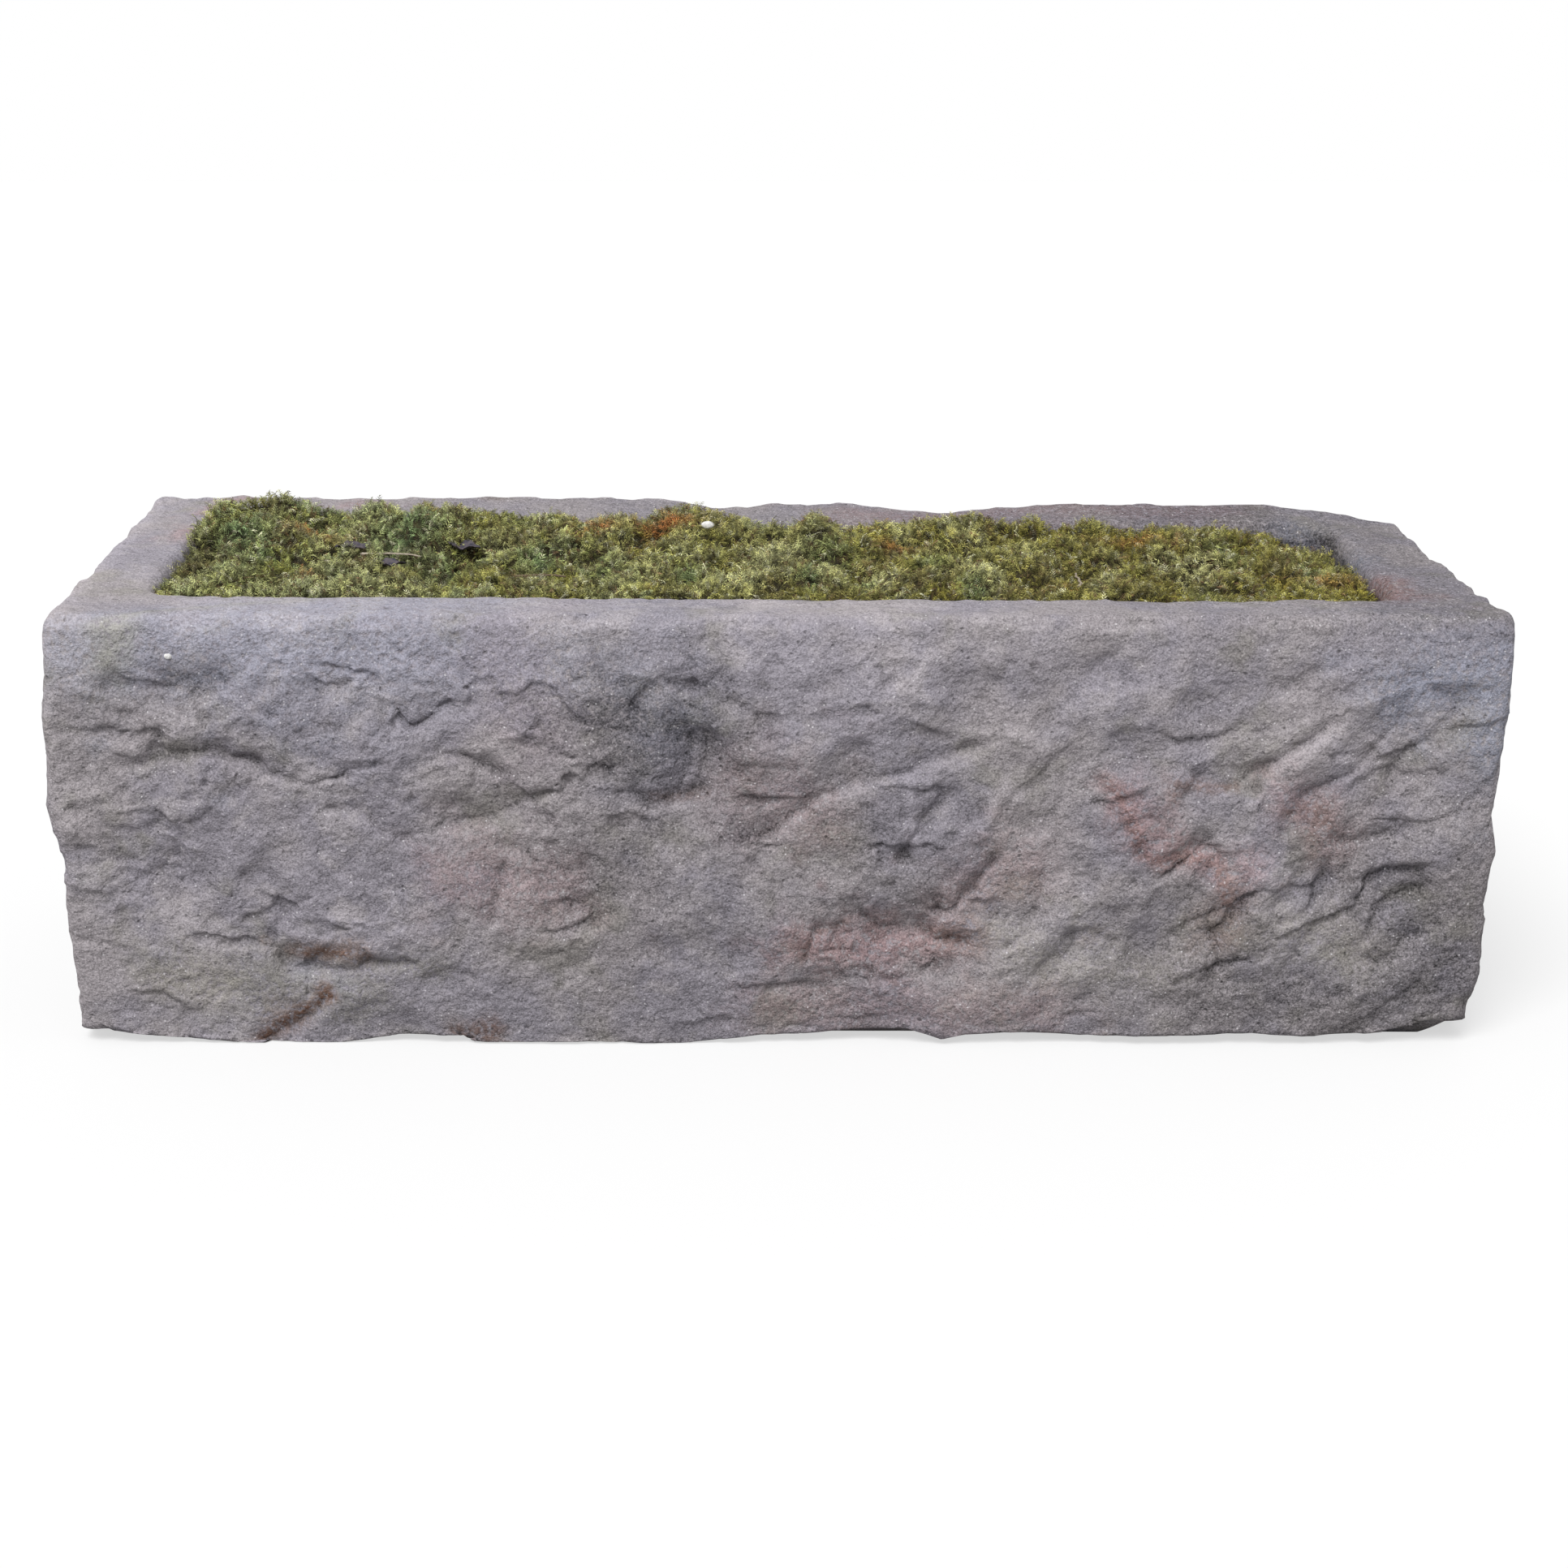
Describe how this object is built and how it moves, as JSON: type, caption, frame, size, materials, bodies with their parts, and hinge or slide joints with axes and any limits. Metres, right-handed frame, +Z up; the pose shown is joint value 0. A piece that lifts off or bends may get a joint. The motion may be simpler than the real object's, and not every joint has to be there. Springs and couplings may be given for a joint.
{
  "type": "stone trough planter",
  "caption": "Rock-faced stone trough with a dressed rim, hollowed out and drained, holding gravel, compost and a hummocky bed of moss.",
  "frame": {"origin": "on the ground, under the middle of the trough", "axes": "+X along the trough, to the right when its front is seen; -Y out of the front face; +Z up"},
  "size_m": [1.536, 0.53, 0.5309],
  "materials": {
    "sandstone": "matte",
    "terracotta": "matte",
    "gravel": "matte",
    "compost": "matte",
    "moss": "matte",
    "pebble": "satin",
    "dead_leaf": "matte",
    "dry_stem": "matte"
  },
  "bodies": {
    "root": {"stone_trough": "sandstone", "drain_crock_1": "terracotta", "drain_crock_2": "terracotta", "drain_crock_3": "terracotta", "drainage_gravel": "gravel", "compost_bed": "compost", "moss_cushion_01": "moss", "moss_cushion_02": "moss", "moss_cushion_03": "moss", "moss_cushion_04": "moss", "moss_cushion_05": "moss", "moss_cushion_06": "moss", "moss_cushion_07": "moss", "moss_cushion_08": "moss", "moss_cushion_09": "moss", "moss_cushion_10": "moss", "moss_cushion_11": "moss", "moss_cushion_12": "moss", "moss_cushion_13": "moss", "moss_cushion_14": "moss", "moss_cushion_15": "moss", "moss_cushion_16": "moss", "moss_cushion_17": "moss", "moss_cushion_18": "moss", "white_pebble": "pebble", "dead_leaf_1": "dead_leaf", "dead_leaf_2": "dead_leaf", "dead_leaf_3": "dead_leaf", "dry_stem_1": "dry_stem", "dry_stem_2": "dry_stem", "dry_stem_3": "dry_stem", "dry_stem_4": "dry_stem", "dry_stem_5": "dry_stem"}
  },
  "joints": []
}
